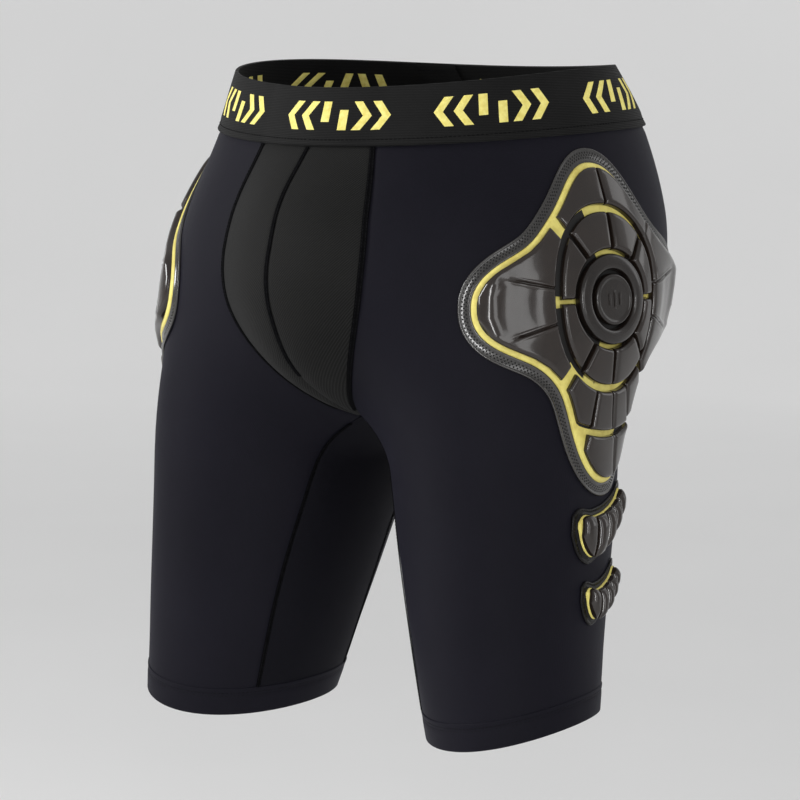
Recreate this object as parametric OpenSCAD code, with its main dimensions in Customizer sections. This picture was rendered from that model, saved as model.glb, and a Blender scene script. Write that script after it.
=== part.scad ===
// Padded impact shorts: stretch shorts with a hip pad and two thigh pads on each leg.
// Millimetres, +Z up, the front faces -Y and the wearer's left is +X.
// The origin is the centre of the waist opening, at the top edge of the waistband.

/* [Garment] */
// Depth from the top of the waistband to the leg hems
hem_depth = 424; // [400:1:440]
// Height of the elastic waistband
band_h = 39; // [30:1:44]
// Thickness of the waistband
band_t = 2.2; // [1.6:0.1:3]
// Thickness of the fabric panels
cloth_t = 1.4; // [1:0.1:2]
// Height of the leg hems
hem_h = 18; // [12:1:24]
// Width of the seam tapes
seam_w = 3.6; // [2:0.1:5]
// How much higher the sides of the waist are than its front
rim_lift = 8; // [0:1:20]
// How much higher the outer side of each hem is than its middle
hem_rise = 7; // [0:1:12]

/* [Hip pad] */
// Depth of the hub centre below the waist
hub_depth = 140; // [136:1:146]
// Direction of the hub round the body, 0 is straight out to the side
hub_turn = -10; // [-14:1:-6]
// Radius of the hub cap
cap_r = 16.5; // [12:0.5:17]
// Inner and outer radius of the ring round the cap
ring_in = 18.5; // [18:0.5:20]
ring_out = 29; // [26:0.5:29]
// Inner radius of the wedges round the ring
wedge_in = 31.5; // [31:0.5:33]
// Half width and half height of the disc that the wedges fill
disc_w = 41; // [39:0.5:43]
disc_h = 55; // [52:0.5:57]
// Width of the grooves between the segments
groove = 2.6; // [1.6:0.1:3.4]
// Width of the grooves inside a lobe
lobe_groove = 1.6; // [1.2:0.1:2.4]
// Height of the hub above the foam
hub_h = 6.5; // [4:0.5:9]
// Height of the lobe segments above the foam
lobe_h = 5; // [3:0.5:7]

/* [All pads] */
// Thickness of the flange that is sewn to the fabric
flange_t = 1.2; // [0.8:0.1:2]
// Width of the flange outside the foam
flange_w = 8; // [6:0.5:10]
// Thickness of the foam under the segments
foam_t = 3.2; // [2:0.1:5]
// Width of the bare foam line between the segments and the flange
line_w = 4; // [2.5:0.1:5]
// Height of the ribs on the thigh pads above their foam
rib_h = 7; // [4:0.5:9]

/* [Hidden] */

// Body shape, as sections at depths below the waist.
// Torso section: half width, half depth and the Y of its centre.
TORSO_A = [[0, 134], [40, 149], [90, 168], [140, 177], [200, 184], [260, 184]];
TORSO_B = [[0, 112], [40, 136], [90, 154], [140, 153], [200, 144], [260, 140]];
TORSO_Y = [[0, 4], [40, 12], [90, 6], [140, -4], [200, -6], [260, -6]];
// Leg section: its centre and its two half axes, which are turned by LEG_TURN.
LEG_X = [[0, 40], [120, 66], [200, 82], [260, 91], [340, 101], [440, 116]];
LEG_Y = [[0, 0], [120, -14], [200, -23], [260, -31], [340, -43], [440, -56]];
LEG_P = [[0, 84], [120, 86], [200, 78], [260, 75], [340, 67], [440, 55]];
LEG_Q = [[0, 112], [120, 116], [200, 110], [260, 98], [340, 84], [440, 66]];
LEG_TURN = -22;
// The section is torso above BLEND[0], leg below BLEND[1], and a mix between them.
BLEND = [110, 260];
// Pouch: how far it bulges forward, and its half width, down to its tip.
TIP = 226;
BULGE = [[38, 4], [70, 15], [110, 18], [150, 22], [190, 26], [215, 12], [TIP, 0]];
HALF = [[38, 45], [80, 54], [120, 57], [150, 52], [190, 32], [215, 12], [TIP, 0.6]];
// Angles round the leg of the front and back leg seams, below the pouch tip.
SEAM_F = [[TIP, -154], [245, -145], [290, -139], [350, -135], [440, -134]];
SEAM_B = [[TIP, -221], [290, -212], [440, -214]];
rim_tilt = 4;       // how much higher the back of the waist is
hem_fall = 5;       // how much lower the front of each hem is
hem_arch = 5;       // how far the sides of each hem curve up
lap = 6;            // panels run this far up under the waistband
tape = 0.6;         // thickness of a seam tape
hem_proud = 0.5;    // hems stand out this far past the panels
label_x = 60;       // the label sits this far to the wearer's right of the centre back
hub_base = [45, -12, 132];  // centre and radius of the upright cylinder the hip pad is laid out on
pad_base = 0.1;     // gap between the fabric and a pad
// Lobes of the hip pad outline: direction, height above lobe_base, angular width.
lobe_base = 68;
LOBES = [[-5, 17, 27], [92, 34, 23.5], [181, 53, 24.5], [268, 34, 23.5], [355, 17, 27]];
SPOKES = [-6, 36, 90, 148, 181, 222, 270, 320, 354];
TOP_SPLIT = [-47, -6, 36];
FRONT_SPLIT = [43, 79, 107, 140];
LOWER_SPLIT = [145, 166, 182, 198, 217];
cross_r = 88;       // radius of the cross groove in the lower lobe
TONGUE_SPLIT = [165, 184, 202];
side_r = 84;        // the side pieces above it reach this far
lobe_gap = 4.5;     // from the disc to the lobe segments
OVAL = 2.3;         // how square the disc's corners are, 2 is an ellipse
// These stand for a radius that depends on the direction.
DISC = -1;          // the edge of the disc
LOBE = -2;          // the inner edge of the lobe segments, lobe_gap outside it
RIM = -3;           // the outline of the pad, less the bare foam line
// Thigh pads: angle, depth, length forward, length back, half width, rise of the tail.
UPPER = [-2, 294, 32, 40, 17.5, 37];
LOWER = [2, 340, 24, 36, 14.5, 31];
leg_r = 80;         // leg radius the thigh pads are laid out on

function mix(a, b, t) = a + (b - a) * t;
function clamp(x, a, b) = min(max(x, a), b);
function ramp(a, b, x) = let (t = clamp((x - a) / (b - a), 0, 1)) t * t * (3 - 2 * t);
function slope(t, i) = (t[i + 1][1] - t[i][1]) / (t[i + 1][0] - t[i][0]);
function tangent(t, i) = i == 0 ? slope(t, 0) : i == len(t) - 1 ? slope(t, i - 1)
    : (slope(t, i - 1) + slope(t, i)) / 2;
function span(t, x, i = 0) = i < len(t) - 2 && x > t[i + 1][0] ? span(t, x, i + 1) : i;
// Smooth curve through the rows of a table.
function prof(t, x0) = let (x = clamp(x0, t[0][0], t[len(t) - 1][0]), i = span(t, x),
    w = t[i + 1][0] - t[i][0], u = (x - t[i][0]) / w)
    (1 + 2 * u) * pow(1 - u, 2) * t[i][1] + u * pow(1 - u, 2) * w * tangent(t, i)
    + u * u * (3 - 2 * u) * t[i + 1][1] + u * u * (u - 1) * w * tangent(t, i + 1);

// Distance from the leg's centre to the surface at angle th and depth s.
function leg_radius(th, s) = 1 / sqrt(pow(cos(th + LEG_TURN) / prof(LEG_P, s), 2)
    + pow(sin(th + LEG_TURN) / prof(LEG_Q, s), 2));
function torso_radius(th, s) = let (a = prof(TORSO_A, s), b = prof(TORSO_B, s),
    ox = prof(LEG_X, s), oy = prof(LEG_Y, s) - prof(TORSO_Y, s),
    qa = pow(cos(th) / a, 2) + pow(sin(th) / b, 2),
    qb = ox * cos(th) / (a * a) + oy * sin(th) / (b * b),
    qc = pow(ox / a, 2) + pow(oy / b, 2) - 1)
    (-qb + sqrt(max(qb * qb - qa * qc, 0))) / qa;
function radius(th, s) = let (w = 1 - ramp(BLEND[0], BLEND[1], s))
    (w > 0 ? w * torso_radius(th, s) : 0) + (w < 1 ? (1 - w) * leg_radius(th, s) : 0);
function across(th, s) = prof(LEG_X, s) + radius(th, s) * cos(th);
// Point of the left half of the body; th 0 is outward, -90 front, 90 back, 180 inner side.
function body(th, s) = let (r = radius(th, s), cx = prof(LEG_X, s), cy = prof(LEG_Y, s),
    x = cx + r * cos(th), y = cy + r * sin(th),
    k = clamp(1 - pow(x / prof(HALF, s), 2), 0, 1),
    out = th < 0 && th > -180 && s < TIP ? prof(BULGE, s) * pow(k, 1.2) : 0,
    top = 1 - ramp(0, 90, s), low = ramp(330, 424, s),
    u = (x - cx) / 60, v = (y - cy) / 60)
    [x, y - out, -s + top * (rim_tilt * y / 110 + rim_lift * pow(x / 130, 2))
        + low * (hem_rise * u + hem_fall * v + hem_arch * (u * u - 0.5))];
function unit(v) = v / norm(v);
// The same point moved out along the surface normal.
function skin(th, s, h) = let (p = body(th, s),
    n = unit(cross(body(th, s + 1) - p, body(th + 1, s) - p)), q = p + h * n)
    [max(q[0], 0.05), q[1], q[2]];
// Angle at which the surface is x from the middle, in front (side -1) or behind (side 1).
function angle_at(s, x, side, lo = 60, hi = 180, n = 20) = n == 0 ? side * (lo + hi) / 2
    : let (m = (lo + hi) / 2) across(side * m, s) > x
        ? angle_at(s, x, side, m, hi, n - 1) : angle_at(s, x, side, lo, m, n - 1);
function front_edge(s) = s < TIP ? angle_at(s, prof(HALF, s), -1) : prof(SEAM_F, s);
function back_edge(s) = s < TIP ? angle_at(s, 0, 1) : 360 + prof(SEAM_B, s);
function inner_angle(u, s) = mix(prof(SEAM_B, s), prof(SEAM_F, s), u);
// Depth at which the inner side of the leg starts, on the middle plane.
function crotch(u, lo = TIP, hi = 262, n = 16) = n == 0 ? (lo + hi) / 2
    : let (m = (lo + hi) / 2) across(inner_angle(u, m), m) > 0
        ? crotch(u, lo, m, n - 1) : crotch(u, m, hi, n - 1);

// Closed solid between two grids of points, P outside and Q inside, clockwise from outside.
module solid(P, Q, wrap = false) {
    n = len(P); m = len(P[0]); c = wrap ? m : m - 1; b = n * m;
    function at(i, j) = i * m + j % m;
    polyhedron(points = [for (r = P) each r, for (r = Q) each r], convexity = 8, faces = [
        for (i = [0 : n - 2], j = [0 : c - 1])
            each [[at(i, j), at(i, j + 1), at(i + 1, j + 1)], [at(i, j), at(i + 1, j + 1), at(i + 1, j)],
                [b + at(i, j), b + at(i + 1, j + 1), b + at(i, j + 1)],
                [b + at(i, j), b + at(i + 1, j), b + at(i + 1, j + 1)]],
        for (j = [0 : c - 1])
            each [[at(0, j + 1), at(0, j), b + at(0, j)], [at(0, j + 1), b + at(0, j), b + at(0, j + 1)],
                [at(n - 1, j), at(n - 1, j + 1), b + at(n - 1, j + 1)],
                [at(n - 1, j), b + at(n - 1, j + 1), b + at(n - 1, j)]],
        if (!wrap) for (i = [0 : n - 2])
            each [[at(i, 0), at(i + 1, 0), b + at(i + 1, 0)], [at(i, 0), b + at(i + 1, 0), b + at(i, 0)],
                [at(i + 1, m - 1), at(i, m - 1), b + at(i, m - 1)],
                [at(i + 1, m - 1), b + at(i, m - 1), b + at(i + 1, m - 1)]]]);
}
module right() { mirror([1, 0, 0]) children(); }
function flipped(p) = [-p[0], p[1], p[2]];

// Fabric
panel_top = band_h - lap;
cuff_top = hem_depth - hem_h;
face = -pad_base;   // outer face of the fabric
PANEL_ROWS = [for (i = [0 : 10]) mix(panel_top, TIP, i / 10), for (i = [1 : 8]) mix(TIP, cuff_top, i / 8)];
function panel_grid(h) = [for (s = PANEL_ROWS) let (a = front_edge(s), b = back_edge(s))
    [for (j = [0 : 22]) skin(mix(a, b, j / 22), s, h)]];
module leg_panel() { solid(panel_grid(face), panel_grid(face - cloth_t)); }
function gusset_grid(h) = [for (i = [0 : 9]) [for (j = [0 : 6]) let (u = j / 6, s = mix(crotch(u), cuff_top, i / 9))
    skin(inner_angle(u, s), s, h)]];
module gusset() { solid(gusset_grid(face), gusset_grid(face - cloth_t)); }
function pouch_grid(h) = [for (i = [0 : 14]) let (s = mix(panel_top, TIP - 1, i / 14))
    [for (j = [0 : 6]) skin(angle_at(s, prof(HALF, s) * j / 6, -1), s, h)]];
module pouch_pane() { solid(pouch_grid(face), pouch_grid(face - cloth_t)); }
// Full ring of the body at one depth, left half then right half.
RING = 18;
function ring(s, h) = let (a = angle_at(s, 0, -1), b = angle_at(s, 0, 1),
    left = [for (j = [0 : RING]) skin(mix(a, b, j / RING), s, h)])
    [each left, for (j = [RING : -1 : 0]) flipped(left[j])];
module waistband() {
    rows = [0, band_h / 3, band_h * 2 / 3, band_h];
    color("black") solid([for (s = rows) ring(s, band_t)], [for (s = rows) ring(s, 0)], true);
}
module back_label() {
    rows = [-1, band_h / 2, band_h - 2];
    function tag(s, x, h) = flipped(skin(angle_at(s, label_x + x, 1), s, h));
    color("dimgray") solid([for (s = rows) [for (x = [-13 : 6.5 : 13]) tag(s, x, -0.1)]],
        [for (s = rows) [for (x = [-13 : 6.5 : 13]) tag(s, x, -1)]]);
}
module hem() {
    rows = [cuff_top, hem_depth - hem_h / 2, hem_depth];
    function cuff(s, h) = [for (j = [0 : 31]) skin(-180 + j * 360 / 32, s, h)];
    solid([for (s = rows) cuff(s, hem_proud)], [for (s = rows) cuff(s, face - cloth_t)], true);
}

// Seam tapes: a strip along a line of [angle, depth] points.
module seam(line) {
    function strip(h) = [for (p = line) let (d = seam_w / 2 / radius(p[0], p[1]) * 180 / PI)
        [skin(p[0] - d, p[1], h), skin(p[0] + d, p[1], h)]];
    solid(strip(tape), strip(0));
}
module middle_seam(side, top, bottom, n) {
    function strip(h) = [for (i = [0 : n]) let (s = mix(top, bottom, i / n),
        p = skin(angle_at(s, seam_w / 2, side), s, h)) side > 0 ? [p, flipped(p)] : [flipped(p), p]];
    color("gray") solid(strip(tape), strip(0));
}
seam_top = band_h + 0.5;
module pouch_seam_centre() { middle_seam(-1, seam_top, 192, 14); }
module back_seam() { middle_seam(1, seam_top, TIP - 8, 14); }
module pouch_seam() {
    color("gray") seam([for (i = [0 : 16]) let (s = mix(seam_top, TIP - 8, i / 16))
        [angle_at(s, prof(HALF, s) - 0.5, -1), s]]);
}
module leg_seam() {
    module run(table, first) {
        seam([for (i = [0 : 12]) let (s = mix(first, cuff_top - 1, i / 12)) [prof(table, s), s]]);
    }
    color("gray") { run(SEAM_F, TIP + 6); run(SEAM_B, TIP + 14); }
}

// Hip pad, laid out in polar coordinates: radius from the hub, angle from straight up, front at 90.
function lobe(k, phi) = k[1] * exp(-pow(abs(phi - k[0]) / k[2], 2.35));
function outline(phi0) = let (phi = (phi0 + 720) % 360) lobe_base
    + lobe(LOBES[0], phi) + lobe(LOBES[1], phi) + lobe(LOBES[2], phi) + lobe(LOBES[3], phi) + lobe(LOBES[4], phi);
function polar(r, phi) = [-r * sin(phi), r * cos(phi)];
// Radius of the disc, grown by d.
function oval(phi, d) = pow(pow(abs(sin(phi)) / (disc_w + d), OVAL)
    + pow(abs(cos(phi)) / (disc_h + d), OVAL), -1 / OVAL);
// Outline moved out by d along its own normal.
function edge(phi, d) = let (p = polar(outline(phi), phi),
    t = unit(polar(outline(phi + 1), phi + 1) - polar(outline(phi - 1), phi - 1))) p + d * [t[1], -t[0]];
// Point of the hip pad: a runs to the rear, b runs up, h is the height above the fabric.
function on_hip(a, b, h) = let (psi = hub_turn + a / hub_base[2] * 180 / PI, s = hub_depth - b,
    x = hub_base[0] + hub_base[2] * cos(psi), y = hub_base[1] + hub_base[2] * sin(psi))
    skin(atan2(y - prof(LEG_Y, s), x - prof(LEG_X, s)), s, h);
function laid(grid, h) = [for (row = grid) [for (p = row) on_hip(p[0], p[1], h)]];
TURNS = [for (i = [0 : 47]) i * 7.5];
foam_top = foam_t + pad_base;
module hip_flange() {
    grid = [for (d = [flange_w, flange_w / 2, -1]) [for (phi = TURNS) edge(-phi, d)]];
    color("slategray") solid(laid(grid, flange_t), laid(grid, 0), true);
}
module hip_foam() {
    grid = [for (k = [1, 0.75, 0.5, 0.02]) [for (phi = TURNS) edge(-phi, -1.2) * k]];
    heights = [foam_top - 0.8, foam_top, foam_top, foam_top];
    // The sheet has a pinhole at the hub centre, under the cap.
    color("gold") solid([for (i = [0 : 3]) [for (p = grid[i]) on_hip(p[0], p[1], heights[i])]],
        laid(grid, pad_base), true);
}
// One segment between two radii and two angles, with bevelled edges, kept inside the outline.
module segment(near, far, phi0, phi1, h, tip_h) {
    us = [0, 0.12, 0.5, 0.88, 1];
    vs = [0, 0.12, 0.5, 0.88, 1];
    gap = near == wedge_in ? groove : lobe_groove;
    // The outline's slope makes the bare line as wide along its sides as at its tips.
    function inset(phi) = let (r = outline(phi), dr = (outline(phi + 1) - r) * 180 / PI)
        r - line_w * sqrt(1 + pow(dr / r, 2));
    function at(r, phi) = r == DISC ? oval(phi, 0) : r == LOBE ? oval(phi, lobe_gap) : r == RIM ? inset(phi) : r;
    function reach(phi) = max(min(at(far, phi), inset(phi)), at(near, phi) + 1);
    function cell(u, v) = let (phi = mix(phi0, phi1, u), r = mix(at(near, phi), reach(phi), v),
        g = gap / 2 / r * 180 / PI, q = mix(phi0 + g, phi1 - g, u)) polar(mix(at(near, q), reach(q), v), q);
    function height(u, v) = mix(h, tip_h, v) * (u == 0 || u == 1 || v == 0 || v == 1 ? 0.6 : 1);
    solid([for (v = vs) [for (u = us) let (p = cell(u, v)) on_hip(p[0], p[1], foam_top + height(u, v))]],
        [for (v = vs) [for (u = us) let (p = cell(u, v)) on_hip(p[0], p[1], foam_top)]]);
}
function round_row(r) = [for (i = [0 : 31]) polar(r, i * 11.25)];
module hip_cap() {
    rows = [1, 12, cap_r - 1.5, cap_r];
    heights = [hub_h, hub_h, hub_h, hub_h - 1.5];
    grid = [for (r = rows) round_row(r)];
    color("dimgray") solid([for (i = [0 : 3]) [for (p = grid[i]) on_hip(p[0], p[1], foam_top + heights[i])]],
        laid(grid, foam_top), true);
}
module hip_ring() {
    rows = [ring_in, ring_in + 1.5, ring_out - 2, ring_out];
    heights = [hub_h - 1.5, hub_h, hub_h, hub_h - 2];
    grid = [for (r = rows) round_row(r)];
    color("dimgray") solid([for (i = [0 : 3]) [for (p = grid[i]) on_hip(p[0], p[1], foam_top + heights[i])]],
        laid(grid, foam_top), true);
}
module hip_wedges() {
    color("dimgray") for (i = [0 : len(SPOKES) - 2])
        segment(wedge_in, DISC, SPOKES[i], SPOKES[i + 1], hub_h - 0.5, hub_h - 1.5);
}
module lobe_row(splits, near, far, h, tip_h) {
    color("dimgray") for (i = [0 : len(splits) - 2]) segment(near, far, splits[i], splits[i + 1], h, tip_h);
}
module hip_top() { lobe_row(TOP_SPLIT, LOBE, RIM, lobe_h, 3); }
module hip_front() { lobe_row(FRONT_SPLIT, LOBE, RIM, lobe_h, 3); }
module hip_rear() { lobe_row([for (i = [3 : -1 : 0]) 360 - FRONT_SPLIT[i]], LOBE, RIM, lobe_h, 3); }
module hip_lower() {
    color("dimgray") {
        lobe_row([for (i = [1 : 3]) LOWER_SPLIT[i]], LOBE, cross_r - groove, lobe_h, lobe_h);
        segment(LOBE, side_r, LOWER_SPLIT[0], LOWER_SPLIT[1], lobe_h, 4);
        segment(LOBE, side_r, LOWER_SPLIT[3], LOWER_SPLIT[4], lobe_h, 4);
        lobe_row(TONGUE_SPLIT, cross_r + groove / 2, RIM, lobe_h, 3);
    }
}

// Thigh pads: a tapered band, u runs from its blunt front end to its tail.
WIDTH = [[0, 0.35], [0.06, 0.75], [0.2, 1], [0.45, 0.95], [0.75, 0.72], [0.95, 0.56], [1, 0.3]];
thigh_inset = 4.5;  // from the edge of a thigh pad's flange to its foam
rib_inset = 6.2;    // and to its ribs
corner = 9;         // how far the blunt end leans up, so that its upper corner is the sharper one
thin = 1.2;         // least half width anywhere on a thigh pad
function on_leg(t, a, b, h) = skin(t[0] + a / leg_r * 180 / PI, t[1] - b, h);
// Point of the pad at u along and v across, both 0 to 1, with its edge moved out by d.
function band_point(t, u, v, d) = let (a = mix(-t[2] - d, t[3] + d, u), w = max(prof(WIDTH, u) * t[4] + d, thin))
    [a, t[5] * pow(max(u - 0.25, 0), 1.6) + corner * pow(max(1 - 4 * u, 0), 1.5) + mix(w, -w, v)];
module thigh_skin(t, d, base, high, nu) {
    vs = [0, 0.15, 0.5, 0.85, 1];
    us = [for (i = [0 : nu]) i / nu];
    function rise(v) = v == 0 || v == 1 ? 0.5 : 1;
    function cell(u, v, h) = let (p = band_point(t, u, v, d)) on_leg(t, p[0], p[1], h);
    solid([for (v = vs) [for (u = us) cell(u, v, mix(base, high, rise(v)))]],
        [for (v = vs) [for (u = us) cell(u, v, base)]]);
}
module thigh_flange(t) { color("slategray") thigh_skin(t, 0, 0, flange_t, 16); }
module thigh_foam(t) { color("gold") thigh_skin(t, -thigh_inset, flange_t - 0.2, foam_top, 14); }
RIBS = [0.02, 0.24, 0.43, 0.61, 0.78, 0.94];
// One rib of a thigh pad between two places along it, domed both ways.
module rib(t, u0, u1) {
    steps = [0, 0.2, 0.5, 0.8, 1];
    dome = [0.35, 0.82, 1, 0.82, 0.35];
    g = groove / 2 / (t[2] + t[3]);
    function place(top) = [for (k = [0 : 4]) [for (j = [0 : 4])
        let (p = band_point(t, mix(u0 + g, u1 - g, steps[j]), steps[k], -rib_inset))
        on_leg(t, p[0], p[1], foam_top + top * rib_h * dome[j] * dome[k])]];
    solid(place(1), place(0));
}
module thigh_ribs(t) {
    color("dimgray") for (i = [0 : len(RIBS) - 2]) rib(t, RIBS[i], RIBS[i + 1]);
}

waistband();
back_label();
color("darkslategray") leg_panel();  // left_leg_panel
color("darkslategray") right() leg_panel();  // right_leg_panel
color("midnightblue") gusset();  // left_gusset
color("midnightblue") right() gusset();  // right_gusset
color("darkgray") pouch_pane();  // pouch_pane_left
color("darkgray") right() pouch_pane();  // pouch_pane_right
color("slateblue") hem();  // left_hem
color("slateblue") right() hem();  // right_hem
pouch_seam_centre();
pouch_seam();  // pouch_seam_left
right() pouch_seam();  // pouch_seam_right
leg_seam();  // left_leg_seam
right() leg_seam();  // right_leg_seam
back_seam();
hip_flange();  // left_hip_flange
hip_foam();  // left_hip_foam
hip_cap();  // left_hip_cap
hip_ring();  // left_hip_ring
hip_wedges();  // left_hip_wedges
hip_top();  // left_hip_top
hip_front();  // left_hip_front
hip_rear();  // left_hip_rear
hip_lower();  // left_hip_lower
right() hip_flange();  // right_hip_flange
right() hip_foam();  // right_hip_foam
right() hip_cap();  // right_hip_cap
right() hip_ring();  // right_hip_ring
right() hip_wedges();  // right_hip_wedges
right() hip_top();  // right_hip_top
right() hip_front();  // right_hip_front
right() hip_rear();  // right_hip_rear
right() hip_lower();  // right_hip_lower
thigh_flange(UPPER);  // left_upper_flange
thigh_foam(UPPER);  // left_upper_foam
thigh_ribs(UPPER);  // left_upper_ribs
thigh_flange(LOWER);  // left_lower_flange
thigh_foam(LOWER);  // left_lower_foam
thigh_ribs(LOWER);  // left_lower_ribs
right() thigh_flange(UPPER);  // right_upper_flange
right() thigh_foam(UPPER);  // right_upper_foam
right() thigh_ribs(UPPER);  // right_upper_ribs
right() thigh_flange(LOWER);  // right_lower_flange
right() thigh_foam(LOWER);  // right_lower_foam
right() thigh_ribs(LOWER);  // right_lower_ribs
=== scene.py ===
# Padded impact shorts: the looks of every piece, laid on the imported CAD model.
# Lengths in the tables are millimetres, as in the CAD; meshes are made in metres.
import math

import bpy
import numpy as np
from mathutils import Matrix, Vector


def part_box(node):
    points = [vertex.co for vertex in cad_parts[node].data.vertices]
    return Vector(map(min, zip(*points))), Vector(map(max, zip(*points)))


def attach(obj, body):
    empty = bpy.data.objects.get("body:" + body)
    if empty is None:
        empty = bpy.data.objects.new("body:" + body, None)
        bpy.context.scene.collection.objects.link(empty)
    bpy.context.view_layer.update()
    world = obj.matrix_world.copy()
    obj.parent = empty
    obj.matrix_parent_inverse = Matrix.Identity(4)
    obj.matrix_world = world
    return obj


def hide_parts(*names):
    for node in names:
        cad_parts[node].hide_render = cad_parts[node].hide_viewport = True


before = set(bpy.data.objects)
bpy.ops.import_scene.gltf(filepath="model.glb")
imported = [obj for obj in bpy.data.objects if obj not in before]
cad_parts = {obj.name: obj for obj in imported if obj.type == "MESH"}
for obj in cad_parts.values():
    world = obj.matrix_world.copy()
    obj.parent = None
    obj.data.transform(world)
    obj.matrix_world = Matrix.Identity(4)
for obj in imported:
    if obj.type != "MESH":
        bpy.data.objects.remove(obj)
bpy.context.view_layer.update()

MM = 0.001
# Waistband height and thickness, and the label's middle, from the middle plane.
BAND_H, BAND_T = 39.0, 2.2
LABEL_X = -60.0
# Depth of the leg openings, height of the hems, thickness of the cloth, depth of the pouch's tip.
HEM, HEM_H = 424.0, 18.0
CLOTH = 1.2
TIP = 226.0

# ---------------------------------------------------------------- the worn shape
# Sections at depths below the waist: torso half width, half depth and centre Y.
TORSO_A = [(0, 134), (40, 149), (90, 168), (140, 177), (200, 184), (260, 184)]
TORSO_B = [(0, 112), (40, 136), (90, 154), (140, 153), (200, 144), (260, 140)]
TORSO_Y = [(0, 4), (40, 12), (90, 6), (140, -4), (200, -6), (260, -6)]
# Leg centre and half axes, turned by LEG_TURN degrees.
LEG_X = [(0, 40), (120, 66), (200, 82), (260, 91), (340, 101), (440, 116)]
LEG_Y = [(0, 0), (120, -14), (200, -23), (260, -31), (340, -43), (440, -56)]
LEG_P = [(0, 84), (120, 86), (200, 78), (260, 75), (340, 67), (440, 55)]
LEG_Q = [(0, 112), (120, 116), (200, 110), (260, 98), (340, 84), (440, 66)]
LEG_TURN = -22
# Depths over which the torso turns into the leg.
BLEND = (110, 260)
# The pouch by depth: how far it bulges, its half width and, below its tip, the leg's two seams.
BULGE = [(38, 4), (70, 15), (110, 18), (150, 22), (190, 26), (215, 12), (TIP, 0)]
HALF = [(38, 45), (80, 54), (120, 57), (150, 52), (190, 32), (215, 12), (TIP, 0.6)]
SEAM_F = [(TIP, -154), (245, -145), (290, -139), (350, -135), (440, -134)]
SEAM_B = [(TIP, -221), (290, -212), (440, -214)]
# The waist rim is higher at the back than in front, and at the sides, fading out over RIM_FADE.
RIM_TILT, RIM_LIFT, RIM_FADE = 4, 8, 90
RIM_X, RIM_Y = 130, 110
# The leg openings slope and arch, from HEM_FADE down.
HEM_RISE, HEM_FALL, HEM_ARCH, HEM_FADE = 7, 5, 5, 330
HEM_R = 60


def mix(a, b, t):
    """Straight blend from a to b."""
    return a + (b - a) * t


def ramp(a, b, x):
    """Smooth rise from 0 at a to 1 at b."""
    t = np.clip((x - a) / (b - a), 0, 1)
    return t * t * (3 - 2 * t)


def prof(table, x):
    """Smooth curve through the rows of a table."""
    t = np.array(table, float)
    xs, ys = t[:, 0], t[:, 1]
    slope = np.diff(ys) / np.diff(xs)
    m = np.concatenate([slope[:1], (slope[1:] + slope[:-1]) / 2, slope[-1:]])
    x = np.clip(x, xs[0], xs[-1])
    i = np.clip(np.searchsorted(xs, x) - 1, 0, len(xs) - 2)
    w = xs[i + 1] - xs[i]
    u = (x - xs[i]) / w
    return ((1 + 2 * u) * (1 - u) ** 2 * ys[i] + u * (1 - u) ** 2 * w * m[i]
            + u * u * (3 - 2 * u) * ys[i + 1] + u * u * (u - 1) * w * m[i + 1])


def radius(th, s):
    """Distance from the leg's centre to the surface; th in degrees, s is the depth."""
    c, d = np.cos(np.radians(th)), np.sin(np.radians(th))
    turn = np.radians(th + LEG_TURN)
    p, q = prof(LEG_P, s), prof(LEG_Q, s)
    leg = 1 / np.sqrt((np.cos(turn) / p) ** 2 + (np.sin(turn) / q) ** 2)
    a, b = prof(TORSO_A, s), prof(TORSO_B, s)
    ox, oy = prof(LEG_X, s), prof(LEG_Y, s) - prof(TORSO_Y, s)
    qa = (c / a) ** 2 + (d / b) ** 2
    qb = ox * c / a ** 2 + oy * d / b ** 2
    qc = (ox / a) ** 2 + (oy / b) ** 2 - 1
    torso = (-qb + np.sqrt(np.maximum(qb * qb - qa * qc, 0))) / qa
    return mix(torso, leg, ramp(BLEND[0], BLEND[1], s))


def across(th, s):
    """Distance from the middle plane."""
    return prof(LEG_X, s) + radius(th, s) * np.cos(np.radians(th))


def body(th, s):
    """Point of the left half's surface, with the pouch, the rim and the leg opening in it."""
    th, s = np.broadcast_arrays(np.asarray(th, float), np.asarray(s, float))
    r, cx, cy = radius(th, s), prof(LEG_X, s), prof(LEG_Y, s)
    x, y = cx + r * np.cos(np.radians(th)), cy + r * np.sin(np.radians(th))
    k = np.clip(1 - (x / prof(HALF, s)) ** 2, 0, 1)
    out = np.where((th < 0) & (th > -180) & (s < TIP), prof(BULGE, s) * k ** 1.2, 0)
    u, v = (x - cx) / HEM_R, (y - cy) / HEM_R
    z = (-s + (1 - ramp(0, RIM_FADE, s)) * (RIM_TILT * y / RIM_Y + RIM_LIFT * (x / RIM_X) ** 2)
         + ramp(HEM_FADE, HEM, s) * (HEM_RISE * u + HEM_FALL * v + HEM_ARCH * (u * u - 0.5)))
    return np.stack([x, y - out, z], -1)


def unit(v):
    return v / np.maximum(np.linalg.norm(v, axis=-1, keepdims=True), 1e-9)


def skin(th, s, h=0.0):
    """Point of the left half, moved out by h along the surface normal."""
    p = body(th, s)
    n = unit(np.cross(body(th, s + 0.7) - p, body(np.asarray(th) + 0.7, s) - p))
    return p + np.asarray(h, float)[..., None] * n


def angle_at(s, x, side):
    """Angle at which the surface is x from the middle plane, in front (-1) or behind (1)."""
    s, x = np.broadcast_arrays(np.asarray(s, float), np.asarray(x, float))
    lo, hi = np.full(s.shape, 60.0), np.full(s.shape, 180.0)
    for _ in range(26):
        m = (lo + hi) / 2
        far = across(side * m, s) > x
        lo, hi = np.where(far, m, lo), np.where(far, hi, m)
    return side * (lo + hi) / 2


def front_edge(s):
    return np.where(s < TIP, angle_at(s, prof(HALF, s), -1), prof(SEAM_F, s))


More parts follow.
